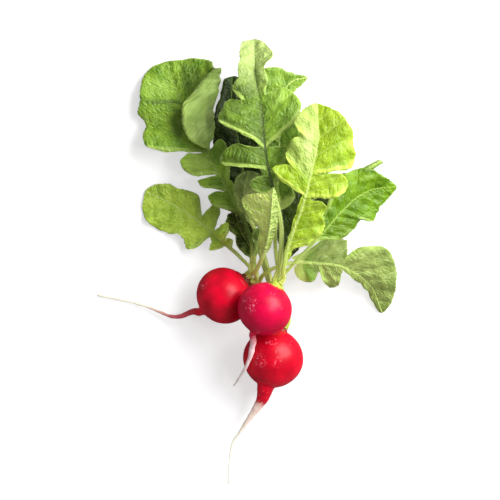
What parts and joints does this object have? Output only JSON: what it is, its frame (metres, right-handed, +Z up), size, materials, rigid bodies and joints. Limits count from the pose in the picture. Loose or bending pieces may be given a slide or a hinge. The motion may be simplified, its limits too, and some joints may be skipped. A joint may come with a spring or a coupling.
{
  "type": "bunch of radishes",
  "caption": "Bunch of round red radishes with thin taproots, lying with their lobed green leaves fanned out above them.",
  "frame": {"origin": "middle of the footprint, on the surface that the bunch lies on", "axes": "+Z up from the surface; +Y from the roots towards the leaf tips; +X to the right seen from above"},
  "size_m": [0.15, 0.2224, 0.0559],
  "materials": {
    "radish_left": "smooth slightly glossy red skin, paler at the root",
    "radish_centre": "smooth slightly glossy red skin, paler at the root",
    "radish_lower": "smooth slightly glossy red skin, paler at the root",
    "leaf_back_long": "soft matt leaf with pale veins and midrib",
    "leaf_under_right": "soft matt leaf with pale veins and midrib",
    "leaf_crinkled": "soft matt leaf with pale veins and midrib",
    "leaf_far_left": "soft matt leaf with pale veins and midrib",
    "leaf_top_right": "soft matt leaf with pale veins and midrib",
    "leaf_top_left": "soft matt leaf with pale veins and midrib",
    "leaf_pale_back": "soft matt leaf with pale veins and midrib",
    "leaf_low_right": "soft matt leaf with pale veins and midrib",
    "leaf_small": "soft matt leaf with pale veins and midrib",
    "leaf_far_right": "soft matt leaf with pale veins and midrib",
    "leaf_top_centre": "soft matt leaf with pale veins and midrib",
    "leaf_bright": "soft matt leaf with pale veins and midrib",
    "leaf_folded": "soft matt leaf with pale veins and midrib"
  },
  "bodies": {
    "root": {"radish_left": "radish_left", "radish_centre": "radish_centre", "radish_lower": "radish_lower", "leaf_back_long": "leaf_back_long", "leaf_under_right": "leaf_under_right", "leaf_crinkled": "leaf_crinkled", "leaf_far_left": "leaf_far_left", "leaf_top_right": "leaf_top_right", "leaf_top_left": "leaf_top_left", "leaf_pale_back": "leaf_pale_back", "leaf_low_right": "leaf_low_right", "leaf_small": "leaf_small", "leaf_far_right": "leaf_far_right", "leaf_top_centre": "leaf_top_centre", "leaf_bright": "leaf_bright", "leaf_folded": "leaf_folded"}
  },
  "joints": []
}
